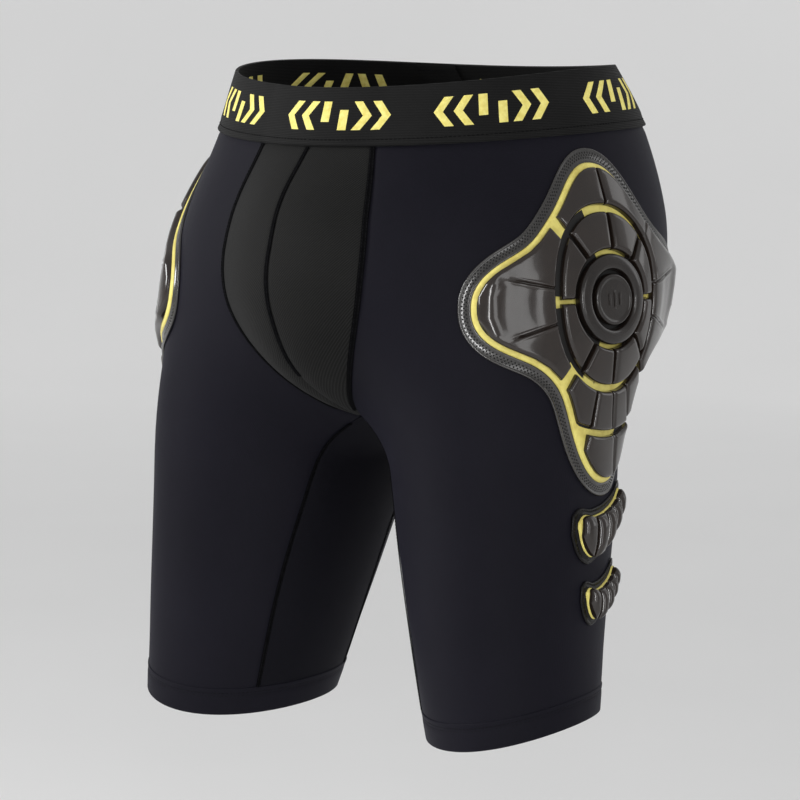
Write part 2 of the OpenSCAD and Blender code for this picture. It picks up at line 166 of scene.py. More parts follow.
def back_edge(s):
    return np.where(s < TIP, angle_at(s, 0, 1), 360 + prof(SEAM_B, s))


def inner_angle(u, s):
    return mix(prof(SEAM_B, s), prof(SEAM_F, s), u)


def crotch(u):
    """Depth at which the inner side of the leg leaves the middle plane."""
    lo, hi = np.full(np.shape(u), TIP), np.full(np.shape(u), 262.0)
    for _ in range(24):
        m = (lo + hi) / 2
        clear = across(inner_angle(u, m), m) > 0
        lo, hi = np.where(clear, lo, m), np.where(clear, m, hi)
    return (lo + hi) / 2


# ---------------------------------------------------------------- mesh making
MATERIALS = {}


def make(name, verts, faces, material, node=None, side=1, sharp=40):
    """A mesh piece from millimetre points; side -1 mirrors it to the wearer's right."""
    v = np.array(verts, float).reshape(-1, 3)
    if side < 0:
        v = v * (-1, 1, 1)
        faces = [f[::-1] for f in faces]
    mesh = bpy.data.meshes.new(name)
    mesh.from_pydata((v * MM).tolist(), [], faces)
    mesh.shade_smooth()
    mesh.set_sharp_from_angle(angle=math.radians(sharp))
    obj = bpy.data.objects.new(name, mesh)
    bpy.context.scene.collection.objects.link(obj)
    mesh.materials.append(MATERIALS[material])
    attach(obj, "root")
    if node:
        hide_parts(node)
    return obj


def join(verts, faces, part):
    """Adds one part's points and faces to the lists of a piece that has several."""
    points, sides = part
    faces.extend(tuple(len(verts) + k for k in q) for q in sides)
    verts.extend(points.tolist())


def grid_faces(n, m, wrap=False, start=0):
    """Quads over n rows of m points, facing out when rows run down and columns run right."""
    out = []
    for i in range(n - 1):
        row = start + i * m
        for j in range(m if wrap else m - 1):
            k = (j + 1) % m
            out.append((row + j, row + m + j, row + m + k, row + k))
    return out


def shell(outer, inner, wrap=False):
    """Closed solid between two grids of points."""
    n, m = outer.shape[:2]
    b, last = n * m, (n - 1) * m
    faces = grid_faces(n, m, wrap) + [f[::-1] for f in grid_faces(n, m, wrap, b)]
    for j in range(m if wrap else m - 1):
        k = (j + 1) % m
        faces.append((j, k, b + k, b + j))
        faces.append((last + k, last + j, b + last + j, b + last + k))
    if not wrap:
        for i in range(n - 1):
            p, q = i * m, (i + 1) * m
            faces.append((q, p, b + p, b + q))
            faces.append((p + m - 1, q + m - 1, b + q + m - 1, b + p + m - 1))
    return np.concatenate([outer.reshape(-1, 3), inner.reshape(-1, 3)]), faces


def tube(rows):
    """Closed band: a grid that wraps both round the body and round its own section."""
    n, m = rows.shape[:2]
    faces = []
    for i in range(n):
        for j in range(m):
            a, k = (i + 1) % n, (j + 1) % m
            faces.append((i * m + j, a * m + j, a * m + k, i * m + k))
    return rows.reshape(-1, 3), faces


# ---------------------------------------------------------------- materials
class Nodes:
    """Short hand for building a material's nodes."""

    def __init__(self, name):
        self.material = bpy.data.materials.new(name)
        self.material.use_nodes = True
        self.tree = self.material.node_tree
        self.shader = self.tree.nodes["Principled BSDF"]
        self.place = self.add("ShaderNodeTexCoord").outputs["Object"]

    def add(self, kind, inputs=None, **props):
        node = self.tree.nodes.new(kind)
        for key, value in props.items():
            setattr(node, key, value)
        for key, value in (inputs or {}).items():
            self.put(node.inputs[key], value)
        return node

    def put(self, socket, value):
        if isinstance(value, bpy.types.NodeSocket):
            self.tree.links.new(value, socket)
        else:
            socket.default_value = value

    def noise(self, scale, detail=3.0, rough=0.5, where=None):
        return self.add("ShaderNodeTexNoise", {"Vector": where or self.place, "Scale": scale,
                        "Detail": detail, "Roughness": rough}).outputs["Fac"]

    def wave(self, scale, direction, distort, where=None):
        return self.add("ShaderNodeTexWave", {"Vector": where or self.place, "Scale": scale,
                        "Distortion": distort, "Detail": 1.0}, bands_direction=direction).outputs["Fac"]

    def turned(self, angles, scale=(1, 1, 1)):
        turn = [math.radians(a) for a in angles]
        return self.add("ShaderNodeMapping", {"Vector": self.place, "Rotation": turn,
                        "Scale": scale}).outputs["Vector"]

    def span(self, fac, low, high, lo=0.0, hi=1.0):
        return self.add("ShaderNodeMapRange", {"Value": fac, "From Min": lo, "From Max": hi,
                        "To Min": low, "To Max": high}).outputs["Result"]

    def colours(self, fac, stops):
        """Colour from low to high between two (position, colour) stops."""
        node = self.add("ShaderNodeValToRGB", {"Fac": fac})
        for element, (pos, colour) in zip(node.color_ramp.elements, stops):
            element.position, element.color = pos, (*colour, 1)
        return node.outputs["Color"]

    def math(self, op, a, b):
        node = self.add("ShaderNodeMath", operation=op)
        self.put(node.inputs[0], a)
        self.put(node.inputs[1], b)
        return node.outputs[0]

    def shares(self, a, b, share):
        """Mix of two values, with the given share of a."""
        return self.math("ADD", self.math("MULTIPLY", a, share), self.math("MULTIPLY", b, 1 - share))

    def bumps(self, *layers):
        """Each layer is (height, strength, distance in metres)."""
        last = None
        for height, strength, distance in layers:
            node = self.add("ShaderNodeBump", {"Height": height, "Strength": strength,
                                               "Distance": distance})
            if last:
                self.put(node.inputs["Normal"], last)
            last = node.outputs["Normal"]
        self.put(self.shader.inputs["Normal"], last)

    def set(self, **values):
        """Sets the shader's sockets and gives the finished material."""
        for key, value in values.items():
            self.put(self.shader.inputs[key.replace("_", " ")], value)
        return self.material


def knit(name, dark, light, rough, sheen):
    """Smooth stretch knit: fine courses, soft shade variation, a faint sheen."""
    n = Nodes(name)
    cloudy = n.noise(9, 4, 0.55)
    courses = n.wave(700, "Z", 1.5)
    wales = n.wave(520, "X", 2.0, n.turned((0, 0, 35)))
    fleck = n.noise(900, 2, 0.6)
    shade = n.shares(cloudy, fleck, 0.6)
    n.bumps((courses, 0.10, 0.0004), (wales, 0.08, 0.0004), (n.noise(60, 3), 0.10, 0.002))
    return n.set(Base_Color=n.colours(shade, [(0.3, dark), (0.7, light)]),
                 Roughness=n.span(fleck, rough - 0.06, rough + 0.08), Specular_IOR_Level=0.09,
                 Sheen_Weight=sheen, Sheen_Roughness=0.45, Sheen_Tint=(0.55, 0.55, 0.8, 1))


def twill(name):
    """Pouch cloth: grey-black with fine diagonal ribs."""
    n = Nodes(name)
    ribs = n.wave(250, "X", 0.6, n.turned((0, -40, 0)))
    cross = n.wave(420, "Z", 0.8)
    weave = n.math("MULTIPLY", ribs, n.span(cross, 0.55, 1.0))
    shade = n.shares(weave, n.noise(14, 4), 0.55)
    dark, light = (0.0060, 0.0060, 0.0058), (0.0175, 0.0175, 0.0170)
    n.bumps((weave, 0.35, 0.0005), (n.noise(500, 2), 0.12, 0.0004))
    return n.set(Base_Color=n.colours(shade, [(0.2, dark), (0.8, light)]),
                 Roughness=n.span(weave, 0.85, 0.68), Sheen_Weight=0.03, Sheen_Roughness=0.5,
                 Sheen_Tint=(0.8, 0.8, 0.82, 1), Specular_IOR_Level=0.12)


def elastic(name):
    """Woven elastic: fine lengthways ribs and a faint cross weave."""
    n = Nodes(name)
    ribs = n.wave(300, "Z", 0.3)
    picks = n.wave(420, "X", 1.0, n.turned((0, 0, 20)))
    shade = n.shares(ribs, n.noise(40, 4), 0.5)
    dark, light = (0.004, 0.004, 0.004), (0.010, 0.010, 0.010)
    n.bumps((ribs, 0.30, 0.0005), (picks, 0.12, 0.0004))
    return n.set(Base_Color=n.colours(shade, [(0.25, dark), (0.8, light)]),
                 Roughness=n.span(ribs, 0.88, 0.7), Sheen_Weight=0.03, Sheen_Roughness=0.5,
                 Specular_IOR_Level=0.15)


def rubber(name, low, high, rough, coat):
    """Moulded rubber: glossy, with faint scuffs and a slightly uneven surface."""
    n = Nodes(name)
    mottle = n.noise(45, 5, 0.6)
    scuff = n.noise(260, 3, 0.7, n.turned((20, 0, 40), (1, 1, 0.25)))
    n.bumps((n.noise(120, 2), 0.03, 0.001), (scuff, 0.02, 0.0004))
    return n.set(Base_Color=n.colours(mottle, [(0.3, low), (0.75, high)]),
                 Roughness=n.span(scuff, rough - 0.04, rough + 0.10), Specular_IOR_Level=0.42,
                 Coat_Weight=coat, Coat_Roughness=0.06)


def film(name, low, high, rough, gloss):
    """Satin film of the flanges, which lies on the cloth."""
    n = Nodes(name)
    grain = n.noise(380, 3, 0.6)
    n.bumps((grain, 0.07, 0.0003), (n.noise(70, 2), 0.04, 0.001))
    return n.set(Base_Color=n.colours(n.noise(60, 4), [(0.3, low), (0.75, high)]),
                 Roughness=n.span(grain, rough - 0.04, rough + 0.08), Specular_IOR_Level=gloss,
                 Coat_Weight=gloss * 0.6, Coat_Roughness=0.12)


def foam(name):
    """Yellow foam: soft pale yellow with fine pores and slightly grubby patches."""
    n = Nodes(name)
    pores = n.noise(1400, 2, 0.6)
    dark, light = (0.55, 0.44, 0.08), (0.84, 0.74, 0.20)
    n.bumps((pores, 0.18, 0.0003), (n.noise(150, 3), 0.10, 0.0008))
    return n.set(Base_Color=n.colours(n.noise(90, 5, 0.6), [(0.2, dark), (0.6, light)]),
                 Roughness=n.span(pores, 0.45, 0.65), Sheen_Weight=0.1)


def yarn(name, low, high, gloss):
    """Thread and embroidery: twisted yarn."""
    n = Nodes(name)
    twist = n.wave(900, "X", 0.5, n.turned((30, 40, 25)))
    n.bumps((twist, 0.3, 0.0003), (n.noise(800, 2), 0.15, 0.0003))
    return n.set(Base_Color=n.colours(n.noise(300, 3), [(0.3, low), (0.7, high)]),
                 Roughness=n.span(twist, 0.8, 0.6), Specular_IOR_Level=gloss)


def hole(name):
    """The dark bottoms of the perforations."""
    n = Nodes(name)
    dark, light = (0.004, 0.004, 0.004), (0.012, 0.012, 0.012)
    n.bumps((n.noise(900, 2), 0.2, 0.0003))
    return n.set(Base_Color=n.colours(n.noise(300, 2), [(0.3, dark), (0.7, light)]),
                 Roughness=n.span(n.noise(500), 0.8, 0.95))


def stage_paint(name):
    """Pale paint; the faint glow far from the part stands for the lamps that light a studio backdrop."""
    n = Nodes(name)
    away = n.add("ShaderNodeVectorMath", {0: n.place}, operation="LENGTH").outputs["Value"]
    low, high = (0.80, 0.80, 0.80), (0.83, 0.83, 0.83)
    n.bumps((n.noise(6, 2), 0.02, 0.001))
    return n.set(Base_Color=n.colours(n.noise(2, 2), [(0.2, low), (0.8, high)]),
                 Roughness=n.span(n.noise(3), 0.85, 0.95), Emission_Color=(1, 1, 1, 1),
                 Emission_Strength=n.span(away, 0.02, 0.16, 1.3, 4.5))


MATERIALS.update({
    "knit": knit("navy_knit", (0.0046, 0.0043, 0.0076), (0.0082, 0.0077, 0.0128), 0.6, 0.025),
    # The gusset's knit is a darker, less sheeny copy of the leg knit: painted shade on the inner leg.
    "knit_painted_shade": knit("gusset_knit", (0.0032, 0.0031, 0.0052), (0.0062, 0.0060, 0.0094), 0.68, 0.015),
    "twill": twill("pouch_twill"),
    "elastic": elastic("black_elastic"),
    "rubber": rubber("segment_rubber", (0.0125, 0.0085, 0.0066), (0.0215, 0.0145, 0.0112), 0.15, 0.45),
    "hub": rubber("hub_rubber", (0.0085, 0.0062, 0.0052), (0.0150, 0.0110, 0.0090), 0.19, 0.3),
    # The near-black groove floors are painted shade, darker than any of the rubbers.
    "shade_floor": rubber("groove_painted_shade", (0.003, 0.0026, 0.0026), (0.006, 0.0055, 0.0055), 0.5, 0.0),
    "film": film("flange_film", (0.015, 0.0135, 0.0125), (0.026, 0.0235, 0.0215), 0.2, 0.7),
    "film_dark": film("thigh_film", (0.0035, 0.0032, 0.0032), (0.0070, 0.0064, 0.0062), 0.26, 0.16),
    "foam": foam("yellow_foam"),
    "motif": yarn("yellow_weave", (0.80, 0.68, 0.16), (0.95, 0.86, 0.28), 0.3),
    "thread": yarn("dark_thread", (0.0015, 0.0015, 0.0018), (0.0035, 0.0035, 0.0040), 0.03),
    "thread_light": yarn("grey_thread", (0.0045, 0.0045, 0.0055), (0.010, 0.010, 0.012), 0.05),
    "hole": hole("perforation"),
    "stage": stage_paint("pale_stage"),
})


# ---------------------------------------------------------------- fabric panels
def edge_dip(d, depth=0.45, reach=2.2):
    """The cloth pulls in beside a seam; d is the distance from it."""
    return -depth * np.exp(-(d / reach) ** 2)


def spread(n, tight):
    """Steps from 0 to 1, closer together near both ends."""
    t = np.linspace(0, 1, n)
    return t + tight * np.sin(2 * np.pi * t) / (-2 * np.pi)


def cloth(name, angles, depths, dips, material, node, side, joined=False):
    """A fabric panel over a grid of angles and depths.

    joined: the first row lies on the middle plane, where it meets its mirror image.
    """
    outer = skin(angles, depths, dips - 0.1)
    inner = skin(angles, depths, -0.1 - CLOTH)
    for grid in (outer, inner):
        grid[..., 0] = np.maximum(grid[..., 0], 0.01)
        if joined:
            grid[0, :, 0] = 0
    verts, faces = shell(outer, inner)
    piece = make(name, verts, faces, material, node, side)


def drape(angles, depths):
    """Very soft slack in the stretched cloth, inward only, so that it stays under the pads."""
    t = np.radians(angles)
    wave = (np.sin(3 * t + depths / 47 + 1.2 * np.sin(depths / 71)) + 0.6 * np.sin(5 * t - depths / 33)
            + 0.5 * np.sin(2 * t + depths / 19))
    fade = ramp(BAND_H, 90, depths) * (1 - ramp(HEM - 45, HEM - HEM_H, depths))
    return -0.35 * (1 + wave / 2.1) * fade


def leg_panel(side, name):
    s = np.concatenate([np.linspace(BAND_H - 6, TIP, 84), np.linspace(TIP, HEM - HEM_H, 84)[1:]])
    u = spread(110, 0.5)
    angles = mix(front_edge(s)[:, None], back_edge(s)[:, None], u[None])
    depths = np.broadcast_to(s[:, None], angles.shape)
    girth = (back_edge(s) - front_edge(s))[:, None] * math.pi / 180 * radius(0, s)[:, None]
    near_front, near_back = u[None] * girth, (1 - u[None]) * girth
    dips = edge_dip(near_front) + edge_dip(near_back) + edge_dip(depths - BAND_H, 0.5, 1.6)
    cloth(name + "_knit", angles, depths, dips + drape(angles, depths), "knit", name, side)


def gusset(side, name):
    u = spread(40, 0.4)
    top = crotch(u)
    depths = mix(top[None], HEM - HEM_H, np.linspace(0, 1, 90)[:, None])
    angles = inner_angle(u[None], depths)
    width = math.radians(80) * 70
    dips = np.broadcast_to(edge_dip(u[None] * width) + edge_dip((1 - u[None]) * width), depths.shape)
    # The darker knit paints the shade on the inner leg.
    cloth(name + "_knit", angles, depths, dips, "knit_painted_shade", name, side,
          joined=True)


def pouch_pane(side, name):
    s = np.linspace(BAND_H - 6, TIP - 1, 120)
    u = spread(44, 0.4)
    half = prof(HALF, s)[:, None]
    xs = half * u[None]
    depths = np.broadcast_to(s[:, None], xs.shape)
    angles = angle_at(depths, xs, -1)
    fade = 1 - ramp(175, 200, depths)
    dips = (edge_dip(xs, 0.5) * fade + edge_dip(half - xs, 0.5)
            + edge_dip(depths - BAND_H, 0.5, 1.6))
    cloth(name + "_twill", angles, depths, dips, "twill", name, side)


# ---------------------------------------------------------------- closed rings: band and hems
HALF_RING = 130


def ring_angles(s):
    """Angles at one depth from the front middle round the left side to the back middle."""
    t = np.linspace(0, 1, HALF_RING + 1)
    return mix(angle_at(s, 0, -1), angle_at(s, 0, 1), t)


def full_ring(s, h):
    """Ring of points round the whole waist at one depth, starting at the front middle."""
    left = skin(ring_angles(s), s, h)
    left[[0, -1], 0] = 0
    right = (left * (-1, 1, 1))[-2:0:-1]
    return np.concatenate([left, right])


def rounded_section(s0, s1, h0, h1, r):
    """Section of a flat band from depth s0 to s1 and height h0 to h1, with rounded outer edges."""
    rows = 12
    a = np.linspace(0, math.pi / 2, 5)
    pts = [(s0 + r * (1 - math.sin(t)), h1 - r * (1 - math.cos(t))) for t in a[::-1]]
    pts += [(s, h1) for s in np.linspace(s0 + r, s1 - r, rows)[1:-1]]
    pts += [(s1 - r * (1 - math.sin(t)), h1 - r * (1 - math.cos(t))) for t in a]
    pts += [(s, h0) for s in np.linspace(s1, s0, rows)]
    return pts


def waistband():
    pts = rounded_section(0, BAND_H, 0.0, BAND_T, 0.9)
    rows = []
    for s, h in pts:
        # The stitch line pulls the band in a little above its lower edge.
        pull = 0.5 * math.exp(-((s - (BAND_H - 4)) / 1.3) ** 2) if h > 1 else 0
        rows.append(full_ring(s, h - pull))
    verts, faces = tube(np.array(rows))
    piece = make("waistband_elastic", verts, faces, "elastic", "waistband")


def hem(side, name):
    pts = rounded_section(HEM - HEM_H, HEM, -1.3, 0.5, 0.6)
    angles = np.linspace(-180, 180, 161)[:-1]
    rows = []
    for s, h in pts:
        pull = 0.45 * math.exp(-((s - (HEM - HEM_H + 4)) / 1.2) ** 2) if h > 0.3 else 0
        rows.append(skin(angles, s, h - pull))
    verts, faces = tube(np.array(rows))
    piece = make(name + "_fold", verts, faces, "knit", name, side)


# ---------------------------------------------------------------- seams and stitches
# Distance from stitch to stitch, length and half thickness of one stitch.
FINE_STITCH, POUCH_STITCH = (2.2, 1.6, 0.2), (2.2, 1.6, 0.22)
HEM_STITCH, BAND_STITCH = (2.8, 2.0, 0.22), (3.0, 2.2, 0.24)
TAPE_UNDER = 0.1


def resample(points, step):
    """Points a fixed distance apart along a line."""
    d = np.concatenate([[0], np.cumsum(np.linalg.norm(np.diff(points, axis=0), axis=1))])
    n = max(int(d[-1] / step), 2)
    want = (np.arange(n) + 0.5) * step
    return np.stack([np.interp(want, d, points[:, k]) for k in range(3)], 1)


def stitches(name, lines, size, material="thread_light", side=1):
    """Rows of short raised stitches along lines of points."""
    pitch, long, thick = size
    verts, faces = [], []
    for line in lines:
        pts = resample(np.asarray(line), pitch)
        if len(pts) < 3:
            continue
        way = unit(np.gradient(pts, axis=0))
        across_ = unit(np.cross(way, np.where(np.abs(way[:, 2:]) < 0.9, (0, 0, 1), (0, 1, 0))))
        up = np.cross(across_, way)
        for p, w, a, b in zip(pts, way, across_, up):
            base = len(verts)
            # Four six-sided rings, the end ones narrower.
            for t, r in ((-0.5, 0.35), (-0.3, 1), (0.3, 1), (0.5, 0.35)):
                for k in range(6):
                    c, d = math.cos(k * math.pi / 3), math.sin(k * math.pi / 3)
                    verts.append(p + w * t * long + (a * c + b * d) * thick * r)
            for i in range(base, base + 18, 6):
                for k in range(6):
                    q = (k + 1) % 6
                    faces.append((i + k, i + q, i + 6 + q, i + 6 + k))
            faces.append(tuple(base + k for k in range(5, -1, -1)))
            faces.append(tuple(base + 18 + k for k in range(6)))
    make(name, verts, faces, material, None, side, sharp=60)


def seam_height(cols, height):
    """Height across a flat seam, crowned a little; cols run from -0.5 to 0.5."""
    return height * (1 - (2 * np.abs(cols)) ** 3) * 0.8 + 0.12


def mirrored(values):
    """Factors for columns of points, which mirror those whose value is below 0."""
    return np.where(values < 0, -1.0, 1.0)[None, :, None] * np.array([1, 0, 0]) + np.array([0, 1, 1])


def strip(name, angles, depths, width, height, node, side):
    """A flat seam of the given width along a line of angles and depths."""
    r = radius(angles, depths)
    cols = np.linspace(-0.5, 0.5, 7)
    a = angles[:, None] + np.degrees(cols[None] * width / r[:, None])
    d = np.broadcast_to(depths[:, None], a.shape)
    verts, faces = shell(skin(a, d, seam_height(cols, height)), skin(a, d, -TAPE_UNDER))
    make(name, verts, faces, "thread", node, side)


def middle_seam(name, last, way):
    """A seam on the middle plane down to a depth, in front (-1) or behind (1), with its stitches."""
    width, height = 3.0, 0.45
    s = np.linspace(BAND_H + 0.3, last, 130)
    cols = np.linspace(-0.5, 0.5, 7) * width
    xs = np.broadcast_to(np.abs(cols)[None], (len(s), 7))
    d = np.broadcast_to(s[:, None], xs.shape)
    a = angle_at(d, xs, way)
    flip = mirrored(cols)
    if way > 0:
        flip = flip * np.array([-1, 1, 1])
    crown = seam_height(cols / width, height)
    verts, faces = shell(skin(a, d, crown) * flip, skin(a, d, -TAPE_UNDER) * flip)
    make(name + "_tape", verts, faces, "thread", name)
    line = skin(angle_at(s, 0.8, way), s, 0.5)
    stitches(name + "_stitches", [line, line * (-1, 1, 1)], FINE_STITCH)


def seam_lines(angles, depths, offset, h=0.55):
    """The two stitch lines beside a seam's middle."""
    r = radius(angles, depths)
    return [skin(angles + np.degrees(o / r), depths, h) for o in (-offset, offset)]


def seams():
    s = np.linspace(BAND_H + 0.3, TIP - 7, 150)
    edge = angle_at(s, prof(HALF, s) - 0.5, -1)
    for side, name in ((1, "pouch_seam_left"), (-1, "pouch_seam_right")):
        strip(name + "_tape", edge, s, 3.4, 0.45, name, side)
        stitches(name + "_stitches", seam_lines(edge, s, 1.0), POUCH_STITCH, side=side)
    middle_seam("pouch_seam_centre", 192, -1)
    middle_seam("back_seam", TIP - 8, 1)
    for side, name in ((1, "left_leg_seam"), (-1, "right_leg_seam")):
        first, last = TIP + 5, HEM - HEM_H + 1
        s = np.linspace(first, last, 140)
        front = prof(SEAM_F, s)
        back_s = np.linspace(first + 9, last, 140)
        back = prof(SEAM_B, back_s)
        strip(name + "_tape", front, s, 2.8, 0.4, name, side)
        strip(name + "_back_tape", back, back_s, 2.8, 0.4, None, side)
        rows = seam_lines(front, s, 0.8, 0.5) + seam_lines(back, back_s, 0.8, 0.5)
        stitches(name + "_stitches", rows, FINE_STITCH, side=side)


def edge_stitches():
    ring = full_ring(BAND_H - 4, BAND_T - 0.35)
    stitches("waistband_stitches", [np.concatenate([ring, ring[:1]])], BAND_STITCH, "thread")
    angles = np.linspace(-180, 180, 241)
    for side, name in ((1, "left_hem_stitches"), (-1, "right_hem_stitches")):
        rows = [skin(angles, HEM - HEM_H + d, 0.18) for d in (3.2, 5.0)]
        stitches(name, rows, HEM_STITCH, side=side)


# ---------------------------------------------------------------- waistband motif and label
class BandPath:
    """Maps a distance round the waistband, from the front middle, to the surface."""

    def __init__(self):
        ring = full_ring(BAND_H / 2, BAND_T)
        closed = np.concatenate([ring, ring[:1]])
        self.along = np.concatenate([[0], np.cumsum(np.linalg.norm(np.diff(closed, axis=0), axis=1))])
        self.length = self.along[-1]

    def at(self, l, s, h):
        """Point at distance l and depth s, moved out by h."""
        l = np.mod(l, self.length)
        j = np.interp(l, self.along, np.arange(len(self.along))) / HALF_RING
        left = j <= 1
        t = np.where(left, j, 2 - j)
        angles = mix(angle_at(s, 0, -1), angle_at(s, 0, 1), t)
        p = skin(angles, s, h)
        p[..., 0] *= np.where(left, 1.0, -1.0)
        return p


def motif(name, path, h, centres):
    """Groups of plain bars and chevrons, 19 mm tall; below 0, h puts them inside the band."""
    verts, faces = [], []
    out = 1 if h > 0 else -1
    mid, tall, short, stroke, lean, pitch = BAND_H / 2 - 0.5, 9.5, 4, 6.0, 3.5, 13

    def bar(l0, l1, s0, s1):
        """One stroke from (l0, s0) to (l1, s1), as wide along the band as stroke."""
        n, m = 7, 5
        v = np.linspace(0, 1, n)[:, None]
        u = np.linspace(0, 1, m)[None]
        l = mix(l0, l1, v) + stroke * u
        s = np.broadcast_to(mix(s0, s1, v), l.shape)
        edge = np.minimum(np.minimum(u, 1 - u) * m, np.minimum(v, 1 - v) * n)
        rise = np.clip(edge, 0, 1) * 0.3
        p, f = shell(path.at(l, s, h + out * (0.02 + rise)), path.at(l, s, h - out * 0.1))
        join(verts, faces, (p, f if h > 0 else [q[::-1] for q in f]))

    for c in centres:
        for i, tip in enumerate((-lean, -lean, 0, 0, lean, lean)):
            l = c + (i - 2.5) * pitch - stroke / 2
            if tip:
                bar(l - tip, l + tip, mid - tall, mid)
                bar(l + tip, l - tip, mid, mid + tall)
            else:
                up, down = (tall, short) if i == 2 else (short, tall)
                bar(l, l, mid - up, mid + down)
    make(name, verts, faces, "motif")


def back_label():
    """A plain tag inside the band, bent a little at its middle, with a stitch line at each end."""
    xs = LABEL_X + np.linspace(-13, 13, 19)
    s = np.linspace(-1, BAND_H - 2, 24)
    d = np.broadcast_to(s[:, None], (len(s), len(xs)))
    a = angle_at(np.maximum(d, 0), np.broadcast_to(np.abs(xs)[None], d.shape), 1)
    bend = 0.25 * np.exp(-((d - 20) / 6) ** 2)
    flip = mirrored(xs)
    near = skin(a, d, -1.0 - bend) * flip
    far = skin(a, d, -0.5 - bend) * flip
    verts, faces = shell(far[:, ::-1], near[:, ::-1])
    piece = make("back_label_tag", verts, faces, "elastic", "back_label")
    lines = [near[3] + (0, -0.2, 0), near[-3] + (0, -0.2, 0)]
    stitches("back_label_stitches", lines, FINE_STITCH)


# ---------------------------------------------------------------- hip pads
# The pad is drawn flat round its hub and laid on the hip; phi is 0 straight up and 90 in front.
# The hub's depth and its place round an upright cylinder (centre X, centre Y, radius).
HUB_DEPTH, HUB_TURN = 140, -10
HUB_BASE = (45, -12, 132)
# The disc of wedges: inner radius, half width and height, squareness, and the gap outside it.
WEDGE_IN, DISC_W, DISC_H, OVAL, LOBE_GAP = 31.5, 41, 55, 2.3, 4.5
# Groove widths and segment heights, height of the foam, width of the yellow line round the edge.
GROOVE, LOBE_GROOVE, HUB_H, LOBE_H = 2.6, 1.6, 6.5, 5.0
FOAM_TOP, LINE_W = 3.3, 4
PAD_UNDER = 0.1
# The outline: a base radius and, for each lobe, its angle, how far it stands out and its width.
LOBE_BASE = 68
LOBES = ((-5, 17, 27), (92, 34, 23.5), (181, 53, 24.5), (268, 34, 23.5), (355, 17, 27))
# Angles at which the disc and the lobes are split, and the radii of the cross groove low down.
SPOKES = (-6, 36, 90, 148, 181, 222, 270, 320, 354)
TOP_SPLIT = (-47, -6, 36)
FRONT_SPLIT = (43, 79, 107, 140)
REAR_SPLIT = [360 - p for p in FRONT_SPLIT[::-1]]
LOWER_SPLIT = (145, 166, 182, 198, 217)
TONGUE_SPLIT = (165, 184, 202)
CROSS_R, SIDE_R = 88, 84
# Share of a segment's height at its edges, and height of the dark floors between segments, whose
# near-black is painted shade.
WALL = 0.42
SHADE_FLOOR_TOP = FOAM_TOP + 0.12
# Perforations: distance from hole to hole, the rows' distances from the foam, and the radius.
HOLE_PITCH, HOLE_ROWS, HOLE_R, HOLE_TOP = 2.7, (2.5, 3.9, 5.3), 0.62, 1.0
# Profiles, as rows of (distance out, height).
FLANGE = ((8.0, 0.05), (8.0, 0.8), (7.8, 1.25), (7.3, 1.45), (6.8, 1.25), (6.4, 0.95), (6.0, 0.9),
          (1.9, 0.9), (1.4, 1.2), (0.9, 1.75), (0.3, 1.95), (-0.3, 1.8), (-0.9, 1.2))
CAP = ((0.02, 4.9), (6, 4.9), (12.4, 4.8), (13.2, 4.9), (13.7, 5.5), (14.4, 5.9), (15.2, 5.8),
       (15.9, 5.3), (16.3, 4.2), (16.5, 2.0), (16.5, 0.2))
RING = ((18.7, 0.2), (18.8, 3.0), (19.2, 4.6), (19.9, 5.7), (21.0, 6.3), (23.0, 6.5), (26.0, 6.4),
        (27.4, 5.9), (28.3, 4.9), (28.8, 3.2), (29.0, 0.2))


def outline(phi):
    """Radius of the foam's outline."""
    phi = np.mod(phi, 360)
    return LOBE_BASE + sum(a * np.exp(-(np.abs(phi - c) / w) ** 2.35) for c, a, w in LOBES)


def polar(r, phi):
    """Flat place on the pad: a towards the back, b up."""
    return -r * np.sin(np.radians(phi)), r * np.cos(np.radians(phi))


def edge(phi, d):
    """The outline moved out by d along its own normal."""
    a, b = polar(outline(phi), phi)
    a1, b1 = polar(outline(phi + 1), phi + 1)
    a0, b0 = polar(outline(phi - 1), phi - 1)
    n = np.hypot(a1 - a0, b1 - b0)
    return a + d * (b1 - b0) / n, b - d * (a1 - a0) / n


def on_hip(a, b, h):
    """The pad's flat place (a, b) on the hip, moved out by h."""
    psi = np.radians(HUB_TURN) + a / HUB_BASE[2]
    s = HUB_DEPTH - b
    x = HUB_BASE[0] + HUB_BASE[2] * np.cos(psi)
    y = HUB_BASE[1] + HUB_BASE[2] * np.sin(psi)
    return skin(np.degrees(np.arctan2(y - prof(LEG_Y, s), x - prof(LEG_X, s))), s, h)


def oval(d=0.0):
    """Radius of the disc of wedges, grown by d, as a function of the angle."""
    return lambda phi: ((np.abs(np.sin(np.radians(phi))) / (DISC_W + d)) ** OVAL
                        + (np.abs(np.cos(np.radians(phi))) / (DISC_H + d)) ** OVAL) ** (-1 / OVAL)


def ring_at(r):
    return lambda phi: np.full(np.shape(phi), float(r))


def dome(d, r):
    """Quarter-round edge: 0 at the edge, 1 from r inwards; d is the distance from the edge."""
    return np.sqrt(np.maximum(1 - (1 - np.clip(d / r, 0, 1)) ** 2, 0))


def steps(bevel, n):
    """Positions from 0 to 1 with extra ones inside the bevels at both ends."""
    e = np.array([0, 0.03, 0.12, 0.3, 0.6, 1.0]) * min(bevel, 0.45)
    return np.concatenate([e, np.linspace(e[-1], 1 - e[-1], n)[1:-1], 1 - e[::-1]])


def inset(phi, w):
    """Radius of the outline moved in by w."""
    r = outline(phi)
    slope = (outline(phi + 1) - r) * 180 / math.pi / r
    return r - w * np.sqrt(1 + slope ** 2)


def rim(phi):
    """Radius at which the segments end, inside the yellow line."""
    return inset(phi, LINE_W)


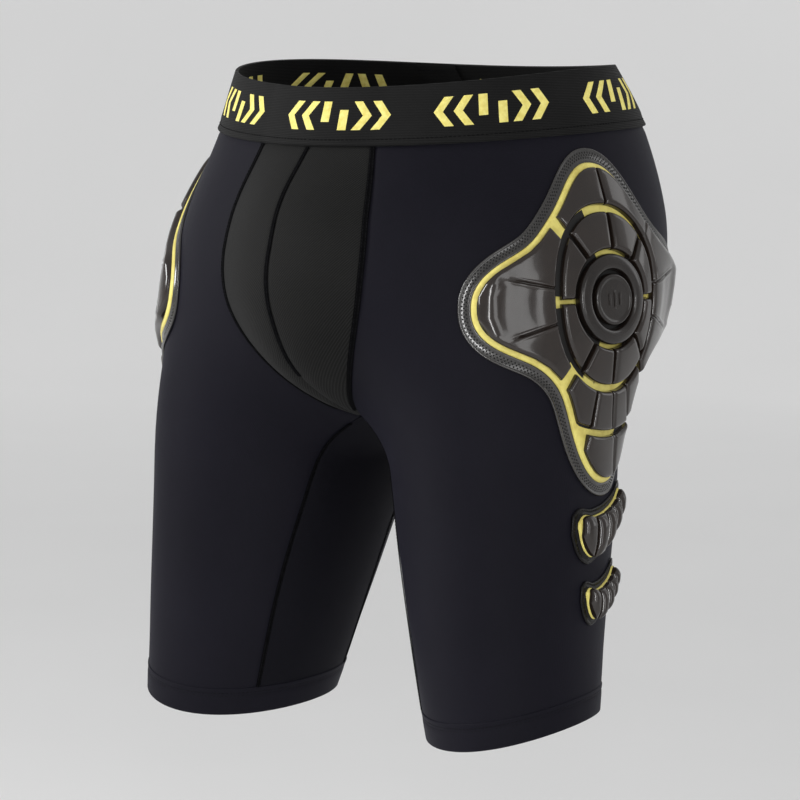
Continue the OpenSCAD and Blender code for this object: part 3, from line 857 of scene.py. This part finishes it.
def segment_grid(near, far, phi0, phi1, high, tip, bevel=2.3, gap=GROOVE, shape=None, cuts=()):
    """Grids of the top and the base of one segment; near and far are radius functions.

    It is high at its inner end and tip at its outer end, and WALL is the share of that at its
    edges. cuts are shallow grooves inside it: (angle, radius where the groove fades out).
    """
    middle = (phi0 + phi1) / 2
    reach = lambda q: np.maximum(np.minimum(far(q), rim(q)), near(q) + 1)
    mean = float(near(middle) + reach(middle)) / 2
    u = steps(bevel / (abs(phi1 - phi0) * math.pi / 180 * mean), 12)
    for angle, _ in cuts:
        u = np.union1d(u, (angle - phi0) / (phi1 - phi0) + np.linspace(-0.035, 0.035, 15))
    v = steps(bevel / float(reach(middle) - near(middle)), 14)
    V, U = np.meshgrid(v, u, indexing="ij")
    r = mix(near(mix(phi0, phi1, U)), reach(mix(phi0, phi1, U)), V)
    g = np.degrees(gap / 2 / r)
    q = mix(phi0 + g, phi1 - g, U)
    r = mix(near(q), reach(q), V)
    du = np.minimum(U, 1 - U) * np.radians(phi1 - phi0 - 2 * g) * r
    dv = np.minimum(V, 1 - V) * (reach(q) - near(q))
    height = mix(high, tip, V) * (WALL + (1 - WALL) * dome(du, bevel) * dome(dv, bevel))
    if shape:
        height = height * shape(r, q)
    for angle, end in cuts:
        across_ = (U - (angle - phi0) / (phi1 - phi0)) * np.radians(phi1 - phi0) * r
        groove = 1.7 * np.exp(-(across_ / 0.75) ** 4)
        lips = 0.35 * np.exp(-((np.abs(across_) - 1.7) / 0.7) ** 2)
        height = height - (1 - ramp(end - 10, end, r)) * (groove - lips)
    a, b = polar(r, q)
    return on_hip(a, b, FOAM_TOP + height), on_hip(a, b, FOAM_TOP - PAD_UNDER)


def segments(name, specs, node, side):
    verts, faces = [], []
    for spec in specs:
        join(verts, faces, shell(*segment_grid(**spec)))
    make(name, verts, faces, "rubber", node, side, sharp=50)


def turned_ring(name, profile, node, side):
    """A round piece on the hub from a profile of (radius, height) points."""
    phi = np.linspace(0, 360, 96, endpoint=False)
    rows = [on_hip(*polar(r, phi), FOAM_TOP + h) for r, h in profile]
    base = [on_hip(*polar(r, phi), FOAM_TOP - PAD_UNDER) for r, h in profile]
    verts, faces = shell(np.array(rows), np.array(base), True)
    make(name, verts, faces, "hub", node, side, sharp=50)


def flange_sheet(name, node, side):
    """The film round the pad, which follows the outline."""
    phi = -np.linspace(0, 360, 360, endpoint=False)
    top = np.array([on_hip(*edge(phi, d), h) for d, h in FLANGE])
    under = np.array([on_hip(*edge(phi, d), 0) for d, h in FLANGE])
    verts, faces = shell(top, under, True)
    make(name, verts, faces, "film", node, side, sharp=55)


def foam_sheet(name, node, side):
    """The foam under the segments, from rows of (share of the outline, height)."""
    phi = -np.linspace(0, 360, 300, endpoint=False)
    a, b = edge(phi, -0.4)
    rows = [(1.0, 1.3), (0.994, 2.3), (0.986, 2.95), (0.97, 3.25), (0.94, FOAM_TOP), (0.8, FOAM_TOP),
            (0.5, FOAM_TOP), (0.001, FOAM_TOP)]
    top = np.array([on_hip(a * k, b * k, h) for k, h in rows])
    under = np.array([on_hip(a * k, b * k, 0.15) for k, h in rows])
    verts, faces = shell(top, under, True)
    piece = make(name, verts, faces, "foam", node, side)


def shade_floor_patch(verts, faces, near, far, phi0, phi1):
    """Dark floor between segments, painted shade, so that only the wanted grooves show yellow."""
    phi = np.linspace(phi0, phi1, max(int((phi1 - phi0) / 2), 4))
    v = np.linspace(0, 1, 5)[:, None]
    reach = np.maximum(np.minimum(far(phi), inset(phi, LINE_W + 0.2)), near(phi) + 0.3)
    r = mix(near(phi)[None], reach[None], v)
    a, b = polar(r, np.broadcast_to(phi[None], r.shape))
    join(verts, faces, shell(on_hip(a, b, SHADE_FLOOR_TOP), on_hip(a, b, SHADE_FLOOR_TOP - 0.2)))


def shade_floors(name, side):
    """The dark floors of painted shade, each from an inner to an outer radius between two angles."""
    verts, faces = [], []
    hub, ring, disc, lobes_in = ring_at(2), ring_at(28), oval(), oval(LOBE_GAP)
    wedge_in, cross = ring_at(WEDGE_IN), ring_at(CROSS_R - GROOVE)
    shade_floor_patch(verts, faces, hub, ring, 0, 360)
    for phi0, phi1 in ((18, 86.5), (93.5, 160), (205, 325)):
        shade_floor_patch(verts, faces, ring, wedge_in, phi0, phi1)
    for phi0, phi1 in ((0, 88), (92, 268.5), (271.5, 360)):
        shade_floor_patch(verts, faces, wedge_in, disc, phi0, phi1)
    for phi0, phi1 in ((14, 85), (95, 138), (205, 266), (274, 325)):
        shade_floor_patch(verts, faces, oval(-0.3), oval(LOBE_GAP - 0.5), phi0, phi1)
    shade_floor_patch(verts, faces, oval(-0.3), oval(2.2), 138, 165)
    shade_floor_patch(verts, faces, lobes_in, rim, TOP_SPLIT[0] + 1, TOP_SPLIT[2] - 1)
    for split in (FRONT_SPLIT, REAR_SPLIT):
        shade_floor_patch(verts, faces, lobes_in, rim, split[0] + 1, split[3] - 1)
    shade_floor_patch(verts, faces, lobes_in, cross, LOWER_SPLIT[0] + 1, LOWER_SPLIT[4] - 1)
    shade_floor_patch(verts, faces, ring_at(CROSS_R + 1.3), rim, TONGUE_SPLIT[0] + 1, TONGUE_SPLIT[2] - 1)
    shade_floor_patch(verts, faces, cross, ring_at(CROSS_R + 1.5), 183, 200)
    make(name, verts, faces, "shade_floor", None, side)


def perforations(name, side):
    """Three staggered rows of small dark holes round the flange."""
    verts, faces = [], []
    fine, k = np.linspace(0, 360, 1441), np.arange(8) * math.pi / 4
    a, b = edge(fine, HOLE_ROWS[1])
    along = np.concatenate([[0], np.cumsum(np.hypot(np.diff(a), np.diff(b)))])
    count = int(along[-1] / HOLE_PITCH)
    for row, d in enumerate(HOLE_ROWS):
        want = (np.arange(count) + 0.5 * (row % 2)) * along[-1] / count
        ca, cb = edge(np.interp(want, along, fine), d)
        da = ca[:, None] + HOLE_R * np.cos(k)[None]
        db = cb[:, None] + HOLE_R * np.sin(k)[None]
        rings = [tuple(i * 8 + j for j in range(8)) for i in range(count)]
        join(verts, faces, (on_hip(da, db, HOLE_TOP).reshape(-1, 3), rings))
    make(name, verts, faces, "hole", None, side)


def emblem(name, side):
    """Three plain raised bars on the hub cap."""
    verts, faces = [], []
    for c, half in ((-4.6, 4.2), (0, 6.0), (4.6, 4.2)):
        u, v = np.meshgrid(np.linspace(-1, 1, 9), np.linspace(1, -1, 15))
        a, b = c + u, half * v
        d = np.minimum(1 - np.abs(u), (1 - np.abs(v)) * half)
        h = FOAM_TOP + 4.85 + 0.7 * dome(d, 0.6)
        join(verts, faces, shell(on_hip(a, b, h), on_hip(a, b, FOAM_TOP + 4.6)))
    make(name, verts, faces, "hub", None, side)


def lobe(splits, near=oval(LOBE_GAP), far=rim, tip=3.0):
    """Plain segments between the angles in splits."""
    return [dict(near=near, far=far, phi0=a, phi1=b, high=LOBE_H, tip=tip, gap=LOBE_GROOVE)
            for a, b in zip(splits, splits[1:])]


def side_lobe(splits, middle):
    """One long segment with two shallow grooves that die out before its rounded, raised tip."""
    def shape(r, q):
        round_ = np.exp(-((q - middle) / 15) ** 4)
        hollow = 0.30 * np.exp(-((r - 72) / 12) ** 4) * round_
        crest = 0.20 * np.exp(-((r - 89) / 4.5) ** 2) * round_
        return 1 - hollow + crest - 0.45 * ramp(89, 99, r) * round_
    plain = lobe((splits[0], splits[3]), tip=LOBE_H - 0.6)[0]
    return [dict(plain, shape=shape, bevel=2.4, cuts=[(splits[1], 80), (splits[2], 80)])]


def hip_pad(side, tag):
    flange_sheet(tag + "_hip_flange_film", tag + "_hip_flange", side)
    perforations(tag + "_hip_perforations", side)
    foam_sheet(tag + "_hip_foam_pad", tag + "_hip_foam", side)
    shade_floors(tag + "_hip_shade_floors", side)
    turned_ring(tag + "_hip_cap_disc", CAP, tag + "_hip_cap", side)
    emblem(tag + "_hip_emblem", side)
    turned_ring(tag + "_hip_hub_ring", RING, tag + "_hip_ring", side)
    wedges = [dict(near=ring_at(WEDGE_IN), far=oval(), phi0=a, phi1=b, high=HUB_H - 0.5, tip=HUB_H - 1.5)
              for a, b in zip(SPOKES, SPOKES[1:])]
    segments(tag + "_hip_wedge_set", wedges, tag + "_hip_wedges", side)
    segments(tag + "_hip_top_set", lobe(TOP_SPLIT), tag + "_hip_top", side)
    segments(tag + "_hip_front_set", side_lobe(FRONT_SPLIT, LOBES[1][0]), tag + "_hip_front", side)
    segments(tag + "_hip_rear_set", side_lobe(REAR_SPLIT, LOBES[3][0]), tag + "_hip_rear", side)
    lower = (lobe(LOWER_SPLIT[:2], far=ring_at(SIDE_R), tip=4)
             + lobe(LOWER_SPLIT[1:4], far=ring_at(CROSS_R - GROOVE), tip=5)
             + lobe(LOWER_SPLIT[3:], far=ring_at(SIDE_R), tip=4)
             + lobe(TONGUE_SPLIT, near=ring_at(CROSS_R + GROOVE / 2)))
    segments(tag + "_hip_lower_set", lower, tag + "_hip_lower", side)


# ---------------------------------------------------------------- thigh pads
# Half width along a pad, from its front end to its tail, as a share of its widest.
WIDTH = [(0, 0.35), (0.06, 0.75), (0.2, 1), (0.45, 0.95), (0.75, 0.72), (0.95, 0.56), (1, 0.3)]
# Middle of each pad on the leg, its reach ahead and behind, half width, and the rise of its tail.
UPPER = dict(angle=-2, depth=294, ahead=32, behind=40, half=17.5, rise=37)
LOWER = dict(angle=2, depth=340, ahead=24, behind=36, half=14.5, rise=31)
# Rise of the front end, how far the ribs lie inside the edge and how far in their rounding is
# measured, the leg's radius there, and where the ribs are split.
CORNER, RIB_INSET, RIB_ROUND = 9, 4.9, 6.2
LEG_R = 80
RIBS = (0.02, 0.24, 0.43, 0.61, 0.78, 0.94)
LOOP_N = 60
# Profiles, as rows of (distance out, height).
THIGH_FLANGE = ((0, 0.1), (0, 0.8), (-0.3, 1.25), (-0.9, 1.4), (-1.5, 1.15), (-2.0, 0.95), (-3.0, 0.95),
                (-3.5, 1.3), (-4.0, 1.75), (-4.5, 1.6), (-4.8, 1.2))
THIGH_FOAM = ((-4.5, 1.2), (-4.6, 2.2), (-5.0, 2.9), (-5.6, 3.25), (-6.4, FOAM_TOP))


def on_leg(t, a, b, h):
    """Place on pad t, a towards the back and b up from its middle, moved out by h."""
    return skin(t["angle"] + np.degrees(a / LEG_R), t["depth"] - b, h)


def band_point(t, u, v, d):
    """Point of a thigh pad, u along and v across, with its edge moved out by d."""
    w = np.maximum(prof(WIDTH, u) * t["half"] + d, 1.2)
    rise = t["rise"] * np.maximum(u - 0.25, 0) ** 1.6 + CORNER * np.maximum(1 - 4 * u, 0) ** 1.5
    return mix(-t["ahead"] - d, t["behind"] + d, u), rise + mix(w, -w, v)


def even():
    """Positions along a pad from 0 to 1, closer together near its ends."""
    return (1 - np.cos(np.linspace(0, math.pi, LOOP_N))) / 2


def loop(t, d):
    """Closed outline of a thigh pad at offset d, clockwise from outside."""
    u = even()
    a0, b0 = band_point(t, u, 0.0, d)
    a1, b1 = band_point(t, u[::-1], 1.0, d)
    return np.concatenate([a0, a1]), np.concatenate([b0, b1])


def loop_sheet(name, t, rows, material, node, side, closed=False):
    """A skin over a thigh pad from rows of (offset, height); closed ends it on the middle line."""
    top, under = [], []
    for d, h in rows:
        a, b = loop(t, d)
        top.append(on_leg(t, a, b, h))
        under.append(on_leg(t, a, b, 0.1))
    if closed:
        a, b = band_point(t, mix(0.08, 0.92, even()), 0.5, -4.5)
        a, b = np.concatenate([a, a[::-1]]), np.concatenate([b + 0.05, b[::-1] - 0.05])
        top.append(on_leg(t, a, b, rows[-1][1]))
        under.append(on_leg(t, a, b, 0.1))
    verts, faces = shell(np.array(top), np.array(under), True)
    return make(name, verts, faces, material, node, side, sharp=55)


def rib_grid(t, u0, u1):
    """Grids of the top and the base of one rounded rib, from u0 to u1 along the pad."""
    whole, middle = t["ahead"] + t["behind"], (u0 + u1) / 2
    g = GROOVE * 0.4 / whole
    k = steps(0.3, 9)
    V, U = np.meshgrid(k, k, indexing="ij")
    a, b = band_point(t, mix(u0 + g, u1 - g, U), V, -RIB_INSET)
    length = (u1 - u0 - 2 * g) * whole
    tall = 2 * np.maximum(prof(WIDTH, middle) * t["half"] - RIB_ROUND, 2)
    along = dome(np.minimum(U, 1 - U) * length, length * 0.42)
    up = dome(np.minimum(V, 1 - V) * tall, tall * 0.4)
    peak = 7.0 * (0.72 + 0.28 * np.sin(np.pi * middle))
    height = peak * (0.3 + 0.7 * along * up)
    return on_leg(t, a, b, FOAM_TOP + height), on_leg(t, a, b, FOAM_TOP - 0.2)


def thigh_pad(t, side, tag):
    loop_sheet(tag + "_flange_film", t, THIGH_FLANGE, "film_dark", tag + "_flange", side)
    pad = loop_sheet(tag + "_foam_pad", t, THIGH_FOAM, "foam", tag + "_foam", side, closed=True)
    verts, faces = [], []
    for u0, u1 in zip(RIBS, RIBS[1:]):
        join(verts, faces, shell(*rib_grid(t, u0, u1)))
    make(tag + "_rib_set", verts, faces, "rubber", tag + "_ribs", side, sharp=60)


# ---------------------------------------------------------------- everything
def build():
    for side, tag in ((1, "left"), (-1, "right")):
        leg_panel(side, tag + "_leg_panel")
        gusset(side, tag + "_gusset")
        hem(side, tag + "_hem")
        hip_pad(side, tag)
        thigh_pad(UPPER, side, tag + "_upper")
        thigh_pad(LOWER, side, tag + "_lower")
    pouch_pane(1, "pouch_pane_left")
    pouch_pane(-1, "pouch_pane_right")
    waistband()
    seams()
    edge_stitches()
    back_label()
    path = BandPath()
    pitch = path.length / 8
    motif("waistband_motif", path, BAND_T, [16 + pitch * k for k in range(8)])
    motif("waistband_motif_inside", path, -0.05, [40 + pitch * k for k in range(8)])


# Metres: the floor's depth below the hems, its reach towards the camera and away, its half width,
# the radius of its curve and the top of the backdrop.
FLOOR_GAP, FLOOR_NEAR, FLOOR_FAR, FLOOR_HALF = 0.30, 16.0, 4.5, 9.0
CURVE, WALL_TOP = 1.5, 6.0
# The camera stands at the photograph's angle; distance, heights and shift in metres, lens in mm.
CAMERA = dict(azimuth=35.5, distance=2.526, height=0.078, aim=-0.221, shift=-0.014, lens=166.5)


def view_axes():
    """The ways along the floor towards the camera and to the right of its picture."""
    a = math.radians(CAMERA["azimuth"])
    return Vector((math.sin(a), -math.cos(a), 0)), Vector((math.cos(a), math.sin(a), 0))


def stage():
    """Plain pale floor that curves up into a backdrop, far enough away to walk round the part."""
    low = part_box("left_hem")[0].z - FLOOR_GAP
    sweep = [(-FLOOR_NEAR, 0), (FLOOR_FAR, 0)]
    for t in np.linspace(0, math.pi / 2, 17)[1:]:
        sweep.append((FLOOR_FAR + CURVE * math.sin(t), CURVE - CURVE * math.cos(t)))
    sweep.append((FLOOR_FAR + CURVE, WALL_TOP))
    back, right = view_axes()
    verts, faces = [], []
    for i, (d, z) in enumerate(sweep):
        for w in (-FLOOR_HALF, FLOOR_HALF):
            p = right * w - back * d
            verts.append((p.x, p.y, low + z))
        if i:
            faces.append((2 * i - 2, 2 * i - 1, 2 * i + 1, 2 * i))
    mesh = bpy.data.meshes.new("backdrop")
    mesh.from_pydata(verts, [], faces)
    mesh.shade_smooth()
    mesh.materials.append(MATERIALS["stage"])
    obj = bpy.data.objects.new("backdrop", mesh)
    bpy.context.scene.collection.objects.link(obj)


def camera():
    back, right = view_axes()
    place = back * CAMERA["distance"] + right * CAMERA["shift"] + Vector((0, 0, CAMERA["height"]))
    aim = right * CAMERA["shift"] + Vector((0, 0, CAMERA["aim"]))
    data = bpy.data.cameras.new("camera")
    data.lens, data.sensor_width = CAMERA["lens"], 36
    data.clip_end = 50
    obj = bpy.data.objects.new("camera", data)
    obj.location = place
    obj.rotation_euler = (aim - place).to_track_quat("-Z", "Y").to_euler()
    bpy.context.scene.collection.objects.link(obj)
    bpy.context.scene.camera = obj


def light(name, azimuth, elevation, distance, size, power):
    """Soft box aimed at the middle of the shorts; azimuth as for the camera."""
    aim = Vector((0, 0, -0.2))
    a, e = math.radians(azimuth), math.radians(elevation)
    way = Vector((math.sin(a) * math.cos(e), -math.cos(a) * math.cos(e), math.sin(e)))
    data = bpy.data.lights.new(name, "AREA")
    data.shape, data.size, data.size_y = "RECTANGLE", size[0], size[1]
    data.energy = power
    obj = bpy.data.objects.new(name, data)
    obj.location = aim + way * distance
    obj.rotation_euler = (-way).to_track_quat("-Z", "Y").to_euler()
    bpy.context.scene.collection.objects.link(obj)


def lights():
    world = bpy.data.worlds.new("studio")
    world.use_nodes = True
    sky = world.node_tree.nodes["Background"].inputs
    sky["Color"].default_value = (1, 1, 1, 1)
    sky["Strength"].default_value = 0.49
    bpy.context.scene.world = world
    bpy.context.scene.view_settings.view_transform = "Standard"
    light("key", -46, 24, 2.3, (0.6, 1.2), 36)
    light("front_strip", 36, 8, 3.3, (0.24, 1.6), 24)
    light("side_box", 66, 10, 2.2, (0.4, 1.4), 4.5)
    light("rim_right", 140, 20, 2.2, (0.6, 1.5), 3)


build()
camera()
stage()
lights()
